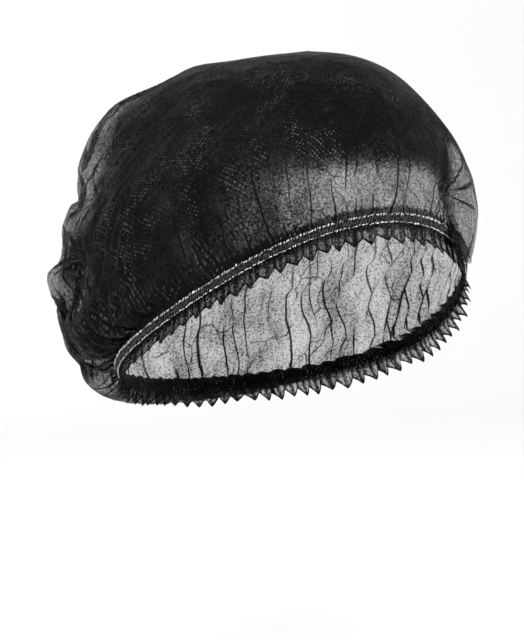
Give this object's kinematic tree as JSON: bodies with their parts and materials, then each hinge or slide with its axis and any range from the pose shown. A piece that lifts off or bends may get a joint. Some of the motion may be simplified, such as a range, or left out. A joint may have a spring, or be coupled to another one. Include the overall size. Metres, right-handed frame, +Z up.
{
  "type": "bouffant surgical cap",
  "caption": "Sheer gathered disposable cap in its worn form: a puffed crown with a full back, a sewn elastic band round the rim, and a short pleated ruffle below it.",
  "frame": {"origin": "centre of the head opening, in the plane of the elastic band", "axes": "+Z up, -Y the way the wearer faces, +X to the wearer's left"},
  "size_m": [0.1946, 0.2257, 0.1747],
  "materials": {
    "veil": "sheer black spun-bonded non-woven, matt",
    "elastic": "black knitted elastic with pale grey stitching"
  },
  "bodies": {
    "root": {"crown": "veil", "elastic_band": "elastic", "ruffle": "veil"}
  },
  "joints": []
}
